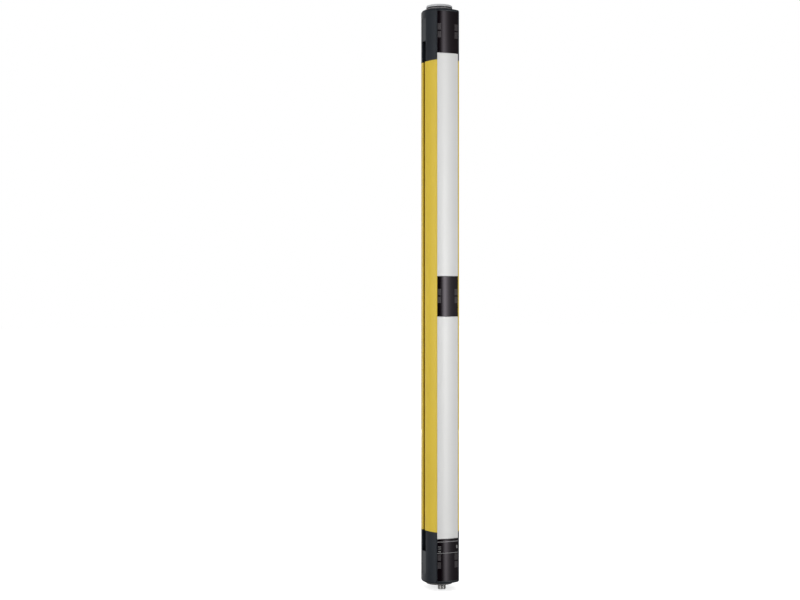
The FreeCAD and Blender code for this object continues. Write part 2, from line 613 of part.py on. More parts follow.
def receiver_board(beam_z):
    half = FLANGE_X - FIT
    height = HOLDER_HALF_HEIGHT - LENS_LEDGE
    back = MODULE_BOARD_Y + BOARD_THICKNESS
    board = box(-half, half, MODULE_BOARD_Y, back, beam_z - height, beam_z + height)
    places = module_screw_places(beam_z)
    holes = screw_holes_y(places, MODULE_BOARD_Y - OVER, back + OVER, SMALL_SCREW_RADIUS + HOLE_CLEARANCE)
    return board.cut(holes)


def photodiode(beam_z):
    half = DIODE_WIDTH / 2
    front_y = MODULE_BOARD_Y - DIODE_HEIGHT
    package = box(-half, half, front_y, MODULE_BOARD_Y, beam_z - half, beam_z + half)
    dome = Part.makeSphere(DIODE_LENS_RADIUS, V(0, front_y, beam_z))
    return package.fuse(dome).removeSplitter()


def module_screws():
    """Screws that hold lens holders and receiver boards to the carrier."""
    seat_y = MODULE_BOARD_Y - HOLDER_FLANGE
    depth = HOLDER_FLANGE + BOARD_THICKNESS + SMALL_SCREW_REACH
    screws = []
    for beam_z in BEAMS.values():
        for x, z in module_screw_places(beam_z):
            screws.append(small_screw(V(x, seat_y, z), V(0, -1, 0), depth))
    return screws


def main_screw_places():
    first = MAIN_BOARD_LOW + SMALL_BOSS_RADIUS * 2
    step = (LENGTH - 2 * first) / (MAIN_SCREW_ROWS - 1)
    return [(side * MAIN_SCREW_X, first + row * step) for row in range(MAIN_SCREW_ROWS) for side in (-1, 1)]


def optics_carrier():
    """U-shaped extrusion with screw bosses on both sides of its web and openings for the cables."""
    low = CARRIER_END
    high = LENGTH - CARRIER_END
    web = box(-CARRIER_HALF_WIDTH, CARRIER_HALF_WIDTH, CARRIER_WEB_Y, WEB_BACK_Y, low, high)
    flange = box(FLANGE_X, FLANGE_OUTER_X, FLANGE_FRONT_Y, CARRIER_WEB_Y, low, high)
    board_back = MODULE_BOARD_Y + BOARD_THICKNESS
    bosses = []
    holes = []
    radius = SMALL_SCREW_RADIUS + THREAD_CLEARANCE
    for name, beam_z in BEAMS.items():
        places = module_screw_places(beam_z)
        bosses += [rod_y(x, z, SMALL_BOSS_RADIUS, board_back, CARRIER_WEB_Y) for x, z in places]
        holes += screw_holes_y(places, board_back - OVER, board_back + SMALL_SCREW_REACH + FIT, radius)
        inward = -1 if name == "upper" else 1
        start = beam_z + inward * (HOLDER_HALF_HEIGHT + CABLE_OPENING)
        holes.append(box(-CABLE_OPENING, CABLE_OPENING, CARRIER_WEB_Y - OVER, WEB_BACK_Y + OVER,
                         start - CABLE_OPENING / 2, start + CABLE_OPENING / 2))
    places = main_screw_places()
    bosses += [rod_y(x, z, SMALL_BOSS_RADIUS, WEB_BACK_Y, MAIN_BOARD_Y) for x, z in places]
    holes += screw_holes_y(places, MAIN_BOARD_Y - SMALL_SCREW_REACH - FIT, MAIN_BOARD_Y + OVER, radius)
    return fused([web] + both_sides(flange) + bosses).cut(holes)


# --- Main board -----------------------------------------------------------------------------------
def main_board():
    half = MAIN_BOARD_HALF_WIDTH
    board = box(-half, half, MAIN_BOARD_Y, MAIN_BOARD_BACK_Y, MAIN_BOARD_LOW, LENGTH - MAIN_BOARD_LOW)
    radius = SMALL_SCREW_RADIUS + HOLE_CLEARANCE
    holes = screw_holes_y(main_screw_places(), MAIN_BOARD_Y - OVER, MAIN_BOARD_BACK_Y + OVER, radius)
    return board.cut(holes)


def main_board_screws():
    depth = BOARD_THICKNESS + SMALL_SCREW_REACH
    return [small_screw(V(x, MAIN_BOARD_BACK_Y, z), Y_AXIS, depth) for x, z in main_screw_places()]


def chips(width, height, places):
    half = width / 2
    top = MAIN_BOARD_BACK_Y + height
    return [box(x - half, x + half, MAIN_BOARD_BACK_Y, top, z - half, z + half) for x, z in places]


def processors():
    """Two processors that watch each other."""
    return chips(CHIP_SIZE, CHIP_HEIGHT, [(0, MIDDLE_Z - CHIP_SPACING), (0, MIDDLE_Z + CHIP_SPACING)])


def output_switches():
    """Transistors of the two safe outputs."""
    low = MAIN_BOARD_LOW + CHIP_SPACING
    return chips(SWITCH_SIZE, SWITCH_HEIGHT, [(-SWITCH_SIZE, low), (SWITCH_SIZE, low)])


def cable_sockets():
    """Sockets on the main board for the cables of the three receivers."""
    half_x = SOCKET_WIDTH / 2
    half_z = SOCKET_DEPTH / 2
    top = MAIN_BOARD_BACK_Y + SOCKET_HEIGHT
    end = MAIN_BOARD_LOW + SOCKET_INSET
    return [box(-half_x, half_x, MAIN_BOARD_BACK_Y, top, z - half_z, z + half_z)
            for z in (end, MIDDLE_Z, LENGTH - end)]


# --- Display ------------------------------------------------------------------------------------------
def display_board():
    half = FLANGE_OUTER_X - FIT
    top = DISPLAY_BOARD_LOW + DISPLAY_BOARD_HEIGHT
    return box(-half, half, DISPLAY_FRONT_Y, FLANGE_FRONT_Y, DISPLAY_BOARD_LOW, top)


def seven_segment_display():
    half_x = DIGIT_WIDTH / 2
    half_z = DIGIT_HEIGHT / 2
    return box(DIGIT_X - half_x, DIGIT_X + half_x, DISPLAY_FRONT_Y - DIGIT_DEPTH, DISPLAY_FRONT_Y,
               DISPLAY_MIDDLE_Z - half_z, DISPLAY_MIDDLE_Z + half_z)


def led_heights():
    first = DISPLAY_MIDDLE_Z - LED_PITCH * (LED_COUNT - 1) / 2
    return [first + number * LED_PITCH for number in range(LED_COUNT)]


def status_leds():
    half = LED_SIZE / 2
    front = DISPLAY_FRONT_Y - LED_HEIGHT
    return [box(LED_X - half, LED_X + half, front, DISPLAY_FRONT_Y, z - half, z + half)
            for z in led_heights()]


def light_guide():
    """Short light pipes on one thin web."""
    back = DISPLAY_FRONT_Y - LED_HEIGHT
    heights = led_heights()
    pipes = [rod_y(LED_X, z, LED_SIZE / 2, back - GUIDE_DEPTH, back) for z in heights]
    half = GUIDE_WEB_WIDTH / 2
    front = back - (GUIDE_DEPTH + GUIDE_WEB_DEPTH) / 2
    web = box(LED_X - half, LED_X + half, front, front + GUIDE_WEB_DEPTH, heights[0], heights[-1])
    return fused(pipes + [web])


# --- Connector ----------------------------------------------------------------------------------------
def connector_body():
    """Nickel-plated shell with a key in its cup, a collar in the cap's bore and a flange behind it."""
    barrel = rod_z(0, CONNECTOR_Y, CONNECTOR_RADIUS, -CONNECTOR_REACH, CONNECTOR_TOP)
    rim = [edge for edge in barrel.Edges if edge.BoundBox.ZMax < NEAR - CONNECTOR_REACH]
    barrel = barrel.makeChamfer(RIM_CHAMFER, rim)
    collar = rod_z(0, CONNECTOR_Y, COLLAR_RADIUS, -COLLAR_STEP, CAP_END_WALL)
    flange = rod_z(0, CONNECTOR_Y, CONNECTOR_FLANGE_RADIUS, CAP_END_WALL, RETAINER_Z)
    bore = rod_z(0, CONNECTOR_Y, CUP_RADIUS, -CONNECTOR_REACH - OVER, CONNECTOR_TOP + OVER)
    shell = fused([barrel, collar, flange]).cut(bore)
    cup_front = CONNECTOR_Y - CUP_RADIUS
    key = box(-KEY_WIDTH / 2, KEY_WIDTH / 2, cup_front - OVER / 2, cup_front + KEY_HEIGHT,
              RIM_CHAMFER - CONNECTOR_REACH, CUP_DEPTH - CONNECTOR_REACH)
    return fused([shell, key])


def pin_places():
    places = [(0.0, CONNECTOR_Y)]
    for number in range(OUTER_PINS):
        turn = 2 * math.pi * number / OUTER_PINS
        places.append((PIN_CIRCLE * math.sin(turn), CONNECTOR_Y + PIN_CIRCLE * math.cos(turn)))
    return places


def connector_insert():
    block = rod_z(0, CONNECTOR_Y, CUP_RADIUS, CUP_DEPTH - CONNECTOR_REACH, CONNECTOR_TOP)
    return block.cut([rod_z(x, y, PIN_RADIUS, -OVER, CONNECTOR_TOP + OVER) for x, y in pin_places()])


def connector_pins():
    low = PIN_RECESS - CONNECTOR_REACH
    high = CONNECTOR_BOARD_Z + 2 * BOARD_THICKNESS
    return [rod_z(x, y, PIN_RADIUS, low, high) for x, y in pin_places()]


def connector_seal():
    middle = COLLAR_RADIUS + FIT / 2 + ORING_RADIUS
    return Part.makeTorus(middle, ORING_RADIUS, V(0, CONNECTOR_Y, CAP_END_WALL - ORING_RADIUS), Z_AXIS)


def connector_retainer():
    """Sheet ring with two ears that keeps the connector's flange on the cap's floor."""
    top = RETAINER_Z + RETAINER_THICKNESS
    low_y = CONNECTOR_Y - RETAINER_SCREW_REACH
    high_y = CONNECTOR_Y + RETAINER_SCREW_REACH
    disc = rod_z(0, CONNECTOR_Y, CONNECTOR_FLANGE_RADIUS, RETAINER_Z, top)
    bar = box(-SMALL_BOSS_RADIUS, SMALL_BOSS_RADIUS, low_y, high_y, RETAINER_Z, top)
    ends = [rod_z(x, y, SMALL_BOSS_RADIUS, RETAINER_Z, top) for x, y in RETAINER_SCREWS]
    holes = [rod_z(0, CONNECTOR_Y, CONNECTOR_RADIUS + FIT, RETAINER_Z - OVER, top + OVER)]
    radius = SMALL_SCREW_RADIUS + HOLE_CLEARANCE
    holes += [rod_z(x, y, radius, RETAINER_Z - OVER, top + OVER) for x, y in RETAINER_SCREWS]
    return fused([disc, bar] + ends).cut(holes)


def connector_board():
    z0 = CONNECTOR_BOARD_Z
    z1 = z0 + BOARD_THICKNESS
    side = CONNECTOR_BOARD_HALF_WIDTH
    board = box(-side, side, CONNECTOR_BOARD_FRONT, BOARD_POST_Y + SMALL_BOSS_RADIUS, z0, z1)
    radius = SMALL_SCREW_RADIUS + HOLE_CLEARANCE
    holes = [rod_z(x, y, PIN_RADIUS + HOLE_CLEARANCE, z0 - OVER, z1 + OVER) for x, y in pin_places()]
    holes += [rod_z(x, y, radius, z0 - OVER, z1 + OVER) for x, y in BOARD_SCREWS]
    return board.cut(holes)


def connector_screws():
    """Two screws in the retainer and two in the connector's board."""
    plate_top = RETAINER_Z + RETAINER_THICKNESS
    board_top = CONNECTOR_BOARD_Z + BOARD_THICKNESS
    plate_depth = RETAINER_THICKNESS + SMALL_SCREW_REACH
    board_depth = BOARD_THICKNESS + SMALL_SCREW_REACH
    screws = [small_screw(V(x, y, plate_top), Z_AXIS, plate_depth) for x, y in RETAINER_SCREWS]
    screws += [small_screw(V(x, y, board_top), Z_AXIS, board_depth) for x, y in BOARD_SCREWS]
    return screws


# --- Pieces -----------------------------------------------------------------------------------------------
os.makedirs("parts", exist_ok=True)

save("housing_profile", housing_profile())
save("lower_end_cap", lower_end_cap())
save("upper_end_cap", upper_end_cap())
save("lower_cap_gasket", cap_gasket())
save("upper_cap_gasket", upside_down(cap_gasket()))
save("lower_cap_screws", *cap_screws())
save("upper_cap_screws", *[upside_down(screw) for screw in cap_screws()])

save("lower_window", front_plate(POCKET_END + JOINT_GAP / 2, INDICATOR_LOW))
save("indicator_window", indicator_window())
save("lower_front_cover", white_cover(INDICATOR_HIGH, MIDDLE_LOW))
save("middle_window", front_plate(MIDDLE_LOW, MIDDLE_HIGH))
save("upper_front_cover", white_cover(MIDDLE_HIGH, UPPER_LOW))
save("upper_window", front_plate(UPPER_LOW, LENGTH - POCKET_END - JOINT_GAP / 2))
save("right_window_seal", window_seal())
save("left_window_seal", window_seal().mirror(V(0, 0, 0), X_AXIS))

save("indicator_dome", indicator_dome())
save("dome_seal", dome_seal())
save("lamp_board", lamp_board())
save("lamp_leds", *lamp_leds())

save("optics_carrier", optics_carrier())
for beam_name, beam_z in BEAMS.items():
    save(f"{beam_name}_lens", lens(beam_z))
    save(f"{beam_name}_lens_holder", lens_holder(beam_z))
    save(f"{beam_name}_receiver_board", receiver_board(beam_z))
    save(f"{beam_name}_photodiode", photodiode(beam_z))
save("module_screws", *module_screws())

save("main_board", main_board())
save("main_board_screws", *main_board_screws())
save("processors", *processors())
save("output_switches", *output_switches())
save("cable_sockets", *cable_sockets())

save("display_board", display_board())
save("seven_segment_display", seven_segment_display())
save("status_leds", *status_leds())
save("light_guide", light_guide())

save("connector_body", connector_body())
save("connector_insert", connector_insert())
save("connector_pins", *connector_pins())
save("connector_seal", connector_seal())
save("connector_retainer", connector_retainer())
save("connector_board", connector_board())
save("connector_screws", *connector_screws())
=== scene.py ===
import json
import math

import bmesh
import bpy
import numpy as np
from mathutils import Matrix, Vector


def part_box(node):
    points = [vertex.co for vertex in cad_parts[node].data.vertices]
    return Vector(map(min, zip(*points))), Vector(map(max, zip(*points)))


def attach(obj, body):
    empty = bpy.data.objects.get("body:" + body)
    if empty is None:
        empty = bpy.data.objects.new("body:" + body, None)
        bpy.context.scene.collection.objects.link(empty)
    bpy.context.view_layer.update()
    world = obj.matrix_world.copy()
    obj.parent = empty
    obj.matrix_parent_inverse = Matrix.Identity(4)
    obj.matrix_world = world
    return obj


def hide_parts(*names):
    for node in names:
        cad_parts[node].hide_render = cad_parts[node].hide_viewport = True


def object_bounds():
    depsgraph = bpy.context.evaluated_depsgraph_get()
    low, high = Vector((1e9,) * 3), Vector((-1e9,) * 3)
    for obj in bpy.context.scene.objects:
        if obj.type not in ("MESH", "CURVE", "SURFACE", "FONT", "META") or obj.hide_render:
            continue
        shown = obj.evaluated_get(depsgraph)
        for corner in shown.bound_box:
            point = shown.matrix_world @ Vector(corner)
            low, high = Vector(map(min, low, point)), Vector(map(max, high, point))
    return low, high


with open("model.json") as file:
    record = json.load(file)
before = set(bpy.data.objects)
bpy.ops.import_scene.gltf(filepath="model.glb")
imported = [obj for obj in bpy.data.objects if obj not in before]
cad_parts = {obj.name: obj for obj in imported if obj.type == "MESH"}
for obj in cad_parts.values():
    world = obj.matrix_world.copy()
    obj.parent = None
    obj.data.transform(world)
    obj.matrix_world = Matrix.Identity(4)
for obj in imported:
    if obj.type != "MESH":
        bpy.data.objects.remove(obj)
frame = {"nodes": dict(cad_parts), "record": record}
cad_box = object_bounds()
nodes = frame["nodes"]
scene = bpy.context.scene


# --- Camera ------------------------------------------------------------------
VIEW_AZIMUTH = math.radians(24.0)
VIEW_DISTANCE = 2.2008
VIEW_HEIGHT = 0.4324
LENS = 64.71                    # mm, on a sensor of SENSOR_WIDTH
SENSOR_WIDTH = 36.0
LENS_PIXELS = 1438.0            # the lens in pixels of the picture
BAR_OFFSET = 39.25              # pixels from the picture's middle to the bar's axis
CLIP_END = 100.0

camera_data = bpy.data.cameras.new("camera")
camera_data.lens = LENS
camera_data.sensor_width = SENSOR_WIDTH
camera_data.clip_end = CLIP_END
camera = bpy.data.objects.new("camera", camera_data)
camera.location = (-VIEW_DISTANCE * math.sin(VIEW_AZIMUTH), -VIEW_DISTANCE * math.cos(VIEW_AZIMUTH), VIEW_HEIGHT)
camera.rotation_euler = (math.pi / 2, 0, math.atan(BAR_OFFSET / LENS_PIXELS) - VIEW_AZIMUTH)
scene.collection.objects.link(camera)
scene.camera = camera
scene.view_settings.view_transform = "Standard"


# --- Shader nodes ------------------------------------------------------------
DRIFT_DETAIL = 2.0
GRAIN_DETAIL = 4.0
NOISE_ROUGHNESS = 0.6
DRIFT_RANGE = (0.35, 0.65)      # part of a noise that a ramp runs over
GRAIN_RANGE = (0.3, 0.7)
EDGE_RANGE = (0.80, 0.995)      # cosine between the rounded and the true normal
EDGE_SAMPLES = 4
HOLLOW_RANGE = (0.22, 0.80)     # part of the sky that a point in a groove sees
HOLLOW_MIDDLE = 0.55
HOLLOW_SAMPLES = 8


def new_material(name):
    material = bpy.data.materials.new(name)
    material.use_nodes = True
    tree = material.node_tree
    return material, tree, tree.nodes["Principled BSDF"]


def math_node(tree, operation, first, second):
    node = tree.nodes.new("ShaderNodeMath")
    node.operation = operation
    tree.links.new(first, node.inputs[0])
    tree.links.new(second, node.inputs[1])
    return node.outputs["Value"]


def place_noise(tree, scale, detail, stretch=(1, 1, 1)):
    """Noise by place on the object, so many grains to the metre."""
    coords = tree.nodes.new("ShaderNodeTexCoord")
    mapping = tree.nodes.new("ShaderNodeMapping")
    mapping.inputs["Scale"].default_value = stretch
    noise = tree.nodes.new("ShaderNodeTexNoise")
    noise.inputs["Scale"].default_value = scale
    noise.inputs["Detail"].default_value = detail
    noise.inputs["Roughness"].default_value = NOISE_ROUGHNESS
    tree.links.new(coords.outputs["Object"], mapping.inputs["Vector"])
    tree.links.new(mapping.outputs["Vector"], noise.inputs["Vector"])
    return noise.outputs["Fac"]


def grey(value):
    return (value, value, value)


def ramp(tree, factor, low, high, places):
    """Two colours at two places of a factor."""
    node = tree.nodes.new("ShaderNodeValToRGB")
    for element, place, colour in zip(node.color_ramp.elements, places, (low, high)):
        element.position = place
        element.color = colour + (1,)
    tree.links.new(factor, node.inputs["Fac"])
    return node.outputs["Color"]


def mixed(tree, factor, first, colour):
    node = tree.nodes.new("ShaderNodeMix")
    node.data_type = "RGBA"
    tree.links.new(factor, node.inputs["Factor"])
    tree.links.new(first, node.inputs["A"])
    node.inputs["B"].default_value = colour + (1,)
    return node.outputs["Result"]


def multiplied(tree, first, second):
    node = tree.nodes.new("ShaderNodeMix")
    node.data_type = "RGBA"
    node.blend_type = "MULTIPLY"
    node.inputs["Factor"].default_value = 1.0
    tree.links.new(first, node.inputs["A"])
    tree.links.new(second, node.inputs["B"])
    return node.outputs["Result"]


def edge_mask(tree, radius):
    """White where an edge turns inside the given radius."""
    bevel = tree.nodes.new("ShaderNodeBevel")
    bevel.samples = EDGE_SAMPLES
    bevel.inputs["Radius"].default_value = radius
    geometry = tree.nodes.new("ShaderNodeNewGeometry")
    dot = tree.nodes.new("ShaderNodeVectorMath")
    dot.operation = "DOT_PRODUCT"
    tree.links.new(bevel.outputs["Normal"], dot.inputs[0])
    tree.links.new(geometry.outputs["Normal"], dot.inputs[1])
    return ramp(tree, dot.outputs["Value"], grey(1.0), grey(0.0), EDGE_RANGE)


def painted_hollow_shade(tree, reach, deep, middle):
    """Painted shade: the colour darkens in grooves and inner corners, by how little of the sky a point sees."""
    hollow = tree.nodes.new("ShaderNodeAmbientOcclusion")
    hollow.samples = HOLLOW_SAMPLES
    hollow.inputs["Distance"].default_value = reach
    shade = ramp(tree, hollow.outputs["AO"], deep, grey(1.0), HOLLOW_RANGE)
    shade.node.color_ramp.elements.new(HOLLOW_MIDDLE).color = middle + (1,)
    return shade


# --- Materials ---------------------------------------------------------------
def finish(name, colour, shade, rough, grain, bump, metal=0.0, ior=1.5, stretch=(1, 1, 1), blotch=14.0,
           wear=None, painted_shade=None, coat=None, transmission=0.0, tint=(1.0, 1.0, 1.0)):
    """Surface with a colour that drifts slowly down to its shade, and a fine grain in roughness and relief.

    Grain and blotch are counts to the metre, and bump is in metres. Wear is a colour, the radius of
    the edges and its strength; painted_shade, the painted shade in grooves and inner corners, is a reach,
    a deep and a middle colour; coat is weight and roughness.
    """
    material, tree, shader = new_material(name)
    drift = place_noise(tree, blotch, DRIFT_DETAIL)
    fine = place_noise(tree, grain, GRAIN_DETAIL, stretch)
    darker = tuple(channel * shade for channel in colour)
    base = ramp(tree, drift, darker, colour, DRIFT_RANGE)
    if wear is not None:
        worn, radius, amount = wear
        broken = ramp(tree, fine, grey(0.0), grey(amount), DRIFT_RANGE)
        base = mixed(tree, math_node(tree, "MULTIPLY", edge_mask(tree, radius), broken), base, worn)
    # painted shade: the base colour darkens in grooves and inner corners
    if painted_shade is not None:
        base = multiplied(tree, base, painted_hollow_shade(tree, *painted_shade))
    tree.links.new(base, shader.inputs["Base Color"])
    tree.links.new(ramp(tree, fine, grey(rough[0]), grey(rough[1]), GRAIN_RANGE), shader.inputs["Roughness"])
    relief = tree.nodes.new("ShaderNodeBump")
    relief.inputs["Strength"].default_value = 1.0
    relief.inputs["Distance"].default_value = bump
    tree.links.new(fine, relief.inputs["Height"])
    tree.links.new(relief.outputs["Normal"], shader.inputs["Normal"])
    shader.inputs["Metallic"].default_value = metal
    shader.inputs["IOR"].default_value = ior
    shader.inputs["Transmission Weight"].default_value = transmission
    shader.inputs["Specular Tint"].default_value = tint + (1,)
    if coat is not None:
        shader.inputs["Coat Weight"].default_value = coat[0]
        shader.inputs["Coat Roughness"].default_value = coat[1]
    return material


def window_finish(name):
    """Black plastic that passes infrared, with a slightly purple sheen."""
    return finish(name, (0.0034, 0.0016, 0.0028), 0.9, (0.10, 0.13), 700.0, 0.000001, ior=1.33, blotch=25.0,
                  tint=(1.0, 0.92, 1.0))


def print_finish(name, colour, shade):
    return finish(name, colour, shade, (0.20, 0.28), 2500.0, 0.000004, ior=1.33)


by_slot = {
    # the yellow coat and the charcoal cast get painted shade, darker in their grooves and recesses
    "yellow_coat": finish("yellow_powder_coat", (0.67, 0.482, 0.036), 0.965, (0.27, 0.36), 1500.0, 0.00002,
                          blotch=9.0, wear=((0.76, 0.62, 0.16), 0.0005, 0.5),
                          painted_shade=(0.008, (0.04, 0.012, 0.002), (0.38, 0.22, 0.07))),
    "black_cast": finish("charcoal_cast_coat", (0.010, 0.0135, 0.0190), 0.88, (0.30, 0.40), 2200.0, 0.00003,
                         blotch=30.0, wear=((0.055, 0.06, 0.065), 0.0006, 0.7),
                         painted_shade=(0.012, grey(0.10), grey(0.55))),
    "white_cover": finish("white_satin_plastic", (0.655, 0.655, 0.645), 0.99, (0.28, 0.30), 900.0, 0.000001,
                          blotch=12.0, ior=1.6),
    "black_window": window_finish("infrared_window"),
    "rubber": finish("black_rubber", (0.018, 0.018, 0.019), 0.85, (0.62, 0.75), 1600.0, 0.00003),
    "nickel": finish("nickel_plate", (0.60, 0.595, 0.585), 0.93, (0.10, 0.16), 1800.0, 0.000004, metal=1.0,
                     stretch=(1, 1, 6)),
    "steel": finish("zinc_plated_steel", (0.55, 0.56, 0.58), 0.90, (0.28, 0.42), 2500.0, 0.00001, metal=1.0),
    "insert_plastic": finish("insert_plastic", (0.012, 0.012, 0.013), 0.85, (0.45, 0.55), 1500.0, 0.00001),
    "contact": finish("gold_plated_contact", (0.83, 0.62, 0.28), 0.92, (0.18, 0.26), 3000.0, 0.000004,
                      metal=1.0),
    "board": finish("green_board", (0.02, 0.13, 0.05), 0.80, (0.30, 0.42), 1200.0, 0.00001, blotch=60.0),
    "led": finish("led_package", (0.80, 0.79, 0.70), 0.95, (0.20, 0.30), 2000.0, 0.000005),
    "chip": finish("chip_epoxy", (0.018, 0.018, 0.020), 0.85, (0.50, 0.62), 3000.0, 0.00002),
    "socket": finish("socket_nylon", (0.76, 0.73, 0.62), 0.94, (0.38, 0.50), 1600.0, 0.00001),
    "holder_plastic": finish("holder_plastic", (0.02, 0.02, 0.022), 0.88, (0.50, 0.62), 2000.0, 0.00002),
    "carrier": finish("mill_aluminium", (0.62, 0.63, 0.64), 0.92, (0.28, 0.42), 1400.0, 0.00001, metal=1.0,
                      stretch=(1, 1, 0.03)),
    "retainer": finish("stamped_steel", (0.50, 0.51, 0.52), 0.90, (0.30, 0.45), 1800.0, 0.00001, metal=1.0,
                       stretch=(0.1, 1, 1)),
    "lamp_lens": finish("frosted_lamp_lens", (0.62, 0.63, 0.645), 0.97, (0.29, 0.32), 900.0, 0.000001,
                        blotch=40.0, coat=(0.3, 0.12), transmission=0.25),
    "optic": finish("clear_acrylic", (0.92, 0.93, 0.94), 0.98, (0.02, 0.05), 900.0, 0.000001,
                    transmission=0.9),
}
banded_window = window_finish("banded_window")
print_ink = print_finish("grey_print", (0.062, 0.056, 0.060), 0.88)
pale_ink = print_finish("pale_print", (0.24, 0.24, 0.24), 0.90)

BAND_HALF = 0.0006
BEAD_HALF = 0.00035             # half the width of a raised line on the window
BEAD_DEPTH = 0.0001             # vertices this near the front belong to the raised lines
BEAD_COLOUR = (0.19, 0.188, 0.19)
# the caps get a lighter grey band painted round the wall of each boss: a painted highlight
RIM_INSET = 0.0009              # from the boss's face to the middle of the painted highlight band on its wall
RIM_HIGHLIGHT_COLOUR = (0.21, 0.20, 0.205)


def paint_bands(material, heights, colour):
    """Pale bands round a piece at two heights: lines on the window's beads, and a painted highlight on the caps'
    bosses.
    """
    tree = material.node_tree
    base_input = tree.nodes["Principled BSDF"].inputs["Base Color"]
    coords = tree.nodes.new("ShaderNodeTexCoord")
    parts = tree.nodes.new("ShaderNodeSeparateXYZ")
    tree.links.new(coords.outputs["Object"], parts.inputs["Vector"])
    masks = []
    for height in heights:
        near = tree.nodes.new("ShaderNodeMath")
        near.operation = "COMPARE"
        near.inputs[1].default_value = height
        near.inputs[2].default_value = BAND_HALF
        tree.links.new(parts.outputs["Z"], near.inputs[0])
        masks.append(near.outputs["Value"])
    either = math_node(tree, "MAXIMUM", *masks)
    tree.links.new(mixed(tree, either, base_input.links[0].from_socket, colour), base_input)


bead_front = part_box("indicator_window")[0][1]
bead_z = sorted(vertex.co.z for vertex in nodes["indicator_window"].data.vertices
                if vertex.co.y < bead_front + BEAD_DEPTH)
paint_bands(banded_window, (bead_z[0] + BEAD_HALF, bead_z[-1] - BEAD_HALF), BEAD_COLOUR)
boss_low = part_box("lower_end_cap")[0][2]
boss_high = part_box("upper_end_cap")[1][2]
# painted highlight: a lighter band round the wall of each cap's boss, where light catches it
paint_bands(by_slot["black_cast"], (boss_low + RIM_INSET, boss_high - RIM_INSET), RIM_HIGHLIGHT_COLOUR)

for subpart in frame["record"]["subparts"]:
    mesh = nodes[subpart["node"]].data
    mesh.materials.clear()
    mesh.materials.append(banded_window if subpart["node"] == "indicator_window"
                          else by_slot[subpart["material_slot"]])


# --- Print on the windows ----------------------------------------------------
INK = 0.00004                   # how far the print stands proud
CROWN_DEPTH = 0.0026            # how far the crowned front falls back at its edges
LINE_DIGITS = 5                 # digits of a metre that tell two x of the front apart
LEFT_MARKS = (0.0004, 0.0056)   # from the window's left edge
RIGHT_MARKS = (0.0060, 0.0002)  # from the window's right edge
BLOCK_OFFSET = 0.0059           # from the beam to the middle of a block
MARK_ROWS = 6
MARK_PITCH = 0.0016
MARK_HALF = 0.00058

# signs beside the display: x from SIGN_LEFT inside the window's left edge, z from its foot
SIGN_LEFT = 0.0006
DASH_SPAN = (0.0004, 0.0052)
DASH_HEIGHTS = ((0.0098, 0.0106), (0.0068, 0.0076))
ZIGZAG = ((0.0006, 0.0026), (0.0022, 0.0044), (0.0034, 0.0022), (0.0052, 0.0042))
ZIGZAG_WIDTH = 0.0007
STROKE_COLUMNS = 3

# long sign on the right: inset, bottom and top of its body and of its two narrower ends
STATUS_RIGHT = 0.0032
STATUS_WIDTH = 0.0024
STATUS_STEPS = ((0.0, 0.0070, 0.0110), (0.0004, 0.0064, 0.0070), (0.0004, 0.0110, 0.0116))


def piece(name, bm, material):
    mesh = bpy.data.meshes.new(name)
    bmesh.ops.recalc_face_normals(bm, faces=bm.faces)
    bm.to_mesh(mesh)
    bm.free()
    mesh.materials.append(material)
    made = bpy.data.objects.new(name, mesh)
    scene.collection.objects.link(made)
    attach(made, "root")
    return made


def front_line(node):
    """The crowned front of a window: y for each x, from its own mesh."""
    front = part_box(node)[0][1]
    lowest = {}
    for vertex in nodes[node].data.vertices:
        x = round(vertex.co.x, LINE_DIGITS)
        lowest[x] = min(lowest.get(x, math.inf), vertex.co.y)
    xs = sorted(x for x, y in lowest.items() if y < front + CROWN_DEPTH)
    return np.array(xs), np.array([lowest[x] for x in xs])


def decal(bm, line, x0, x1, z0, z1, columns=5):
    """Thin printed patch that follows the crowned front."""
    rows = []
    for proud in (INK, -INK / 2):
        for z in (z0, z1):
            xs = np.linspace(x0, x1, columns + 1)
            rows.append([bm.verts.new((x, np.interp(x, *line) - proud, z)) for x in xs])
    front_low, front_high, back_low, back_high = rows
    for i in range(columns):
        bm.faces.new((front_low[i], front_low[i + 1], front_high[i + 1], front_high[i]))
        bm.faces.new((back_low[i + 1], back_low[i], back_high[i], back_high[i + 1]))
        bm.faces.new((front_low[i + 1], front_low[i], back_low[i], back_low[i + 1]))
        bm.faces.new((front_high[i], front_high[i + 1], back_high[i + 1], back_high[i]))
    bm.faces.new((front_low[0], front_high[0], back_high[0], back_low[0]))
    bm.faces.new((front_low[-1], back_low[-1], back_high[-1], front_high[-1]))


def stroke(bm, line, start, end, width):
    """Slanting printed line that follows the crowned front."""
    (xa, za), (xb, zb) = start, end
    length = math.hypot(xb - xa, zb - za)
    ax, az = -(zb - za) / length * width / 2, (xb - xa) / length * width / 2
    rings = []
    for t in np.linspace(0, 1, STROKE_COLUMNS + 1):
        x, z = xa + (xb - xa) * t, za + (zb - za) * t
        ring = []
        for side, proud in ((1, INK), (-1, INK), (-1, -INK / 2), (1, -INK / 2)):
            px = x + side * ax
            ring.append(bm.verts.new((px, np.interp(px, *line) - proud, z + side * az)))
        rings.append(ring)
    for first, second in zip(rings, rings[1:]):
        for i in range(4):
            j = (i + 1) % 4
            bm.faces.new((first[i], first[j], second[j], second[i]))
    bm.faces.new(rings[0][::-1])
    bm.faces.new(rings[-1])


